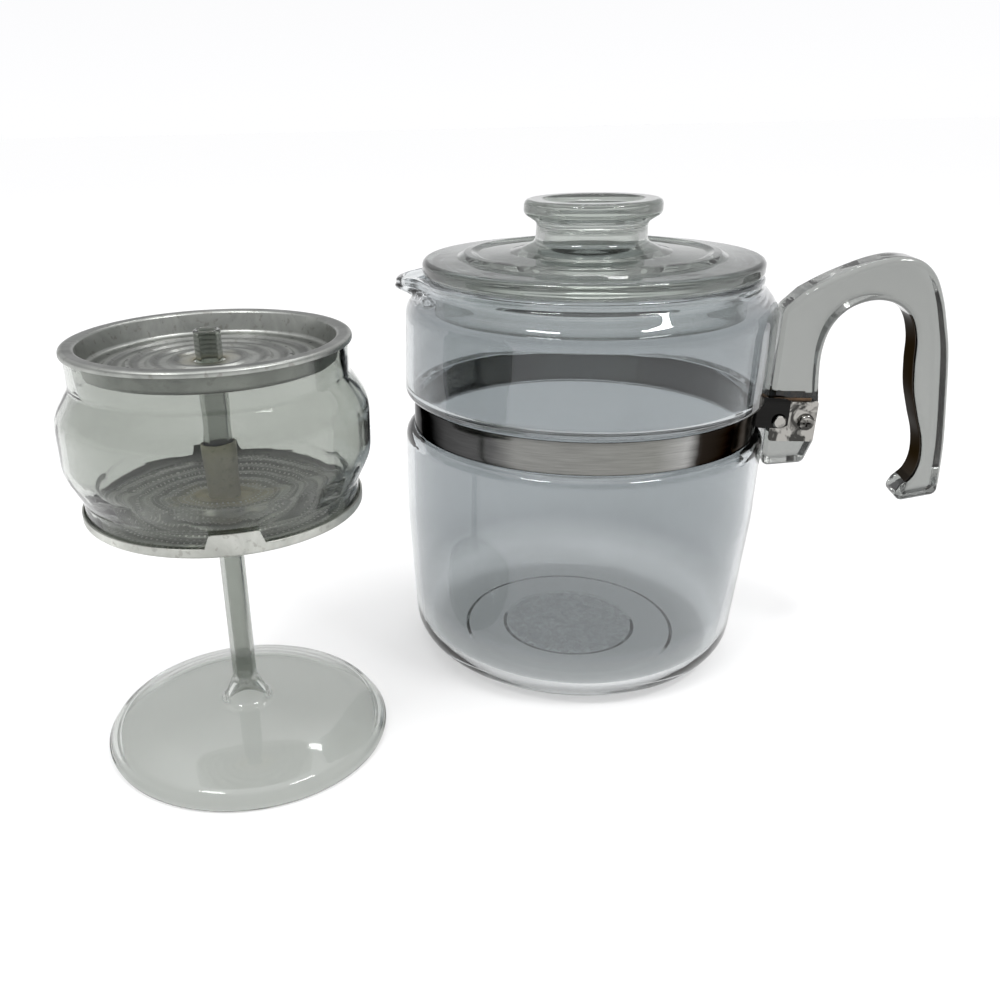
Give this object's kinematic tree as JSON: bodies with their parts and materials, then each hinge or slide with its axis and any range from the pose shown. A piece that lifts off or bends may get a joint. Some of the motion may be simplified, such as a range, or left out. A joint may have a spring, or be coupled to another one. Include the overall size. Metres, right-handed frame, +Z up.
{
  "type": "coffee percolator",
  "caption": "Clear glass stove-top coffee percolator with glass lid, steel waist band and glass hook handle; its pump, basket and spreader stand beside it.",
  "frame": {"origin": "centre of the pot's flat base on the table, on the pot's axis", "axes": "+Z up along the pot's axis; +X from the axis towards the handle; the pouring lip points along -X; the pump stands on the same table at -X -Y"},
  "size_m": [0.3455, 0.2314, 0.1974],
  "materials": {
    "pot_glass": "clear pressed borosilicate glass",
    "lid_glass": "clear pressed glass, faintly green in thick edges",
    "handle_glass": "solid clear glass, polished",
    "pump_glass": "clear blown glass with faint film",
    "basket_glass": "clear blown glass with a thick collar",
    "steel": "bright stainless steel strip, lightly scratched",
    "fastener": "plated screw, nut and rivets",
    "liner": "aged brown liner",
    "aluminium": "dull spun aluminium, water spotted",
    "aluminium_tube": "dull drawn aluminium, coffee stained"
  },
  "bodies": {
    "pot": {"pot_body": "pot_glass", "handle": "handle_glass", "clamp_band": "steel", "cheek_near": "steel", "cheek_far": "steel", "liner_near": "liner", "liner_far": "liner", "band_rivets": "fastener", "clamp_screw": "fastener", "clamp_nut": "fastener"},
    "lid": {"pot_lid": "lid_glass"},
    "pump": {"pump": "pump_glass"},
    "basket": {"basket_plate": "aluminium", "basket_tube": "aluminium_tube"},
    "basket_wall": {"basket_glass": "basket_glass"},
    "spreader": {"spreader": "aluminium"}
  },
  "joints": [
    {"name": "lid_lift", "type": "slide", "parent": "pot", "child": "lid", "axis": [0, 0, 1], "range_m": [0, 0.06]},
    {"name": "pump_lift", "type": "slide", "parent": "pot", "child": "pump", "axis": [0, 0, 1], "range_m": [0, 0.08]},
    {"name": "basket_lift", "type": "slide", "parent": "pump", "child": "basket", "axis": [0, 0, 1], "range_m": [0, 0.06]},
    {"name": "glass_lift", "type": "slide", "parent": "basket", "child": "basket_wall", "axis": [0, 0, 1], "range_m": [0, 0.04]},
    {"name": "spreader_lift", "type": "slide", "parent": "basket_wall", "child": "spreader", "axis": [0, 0, 1], "range_m": [0, 0.03]}
  ]
}
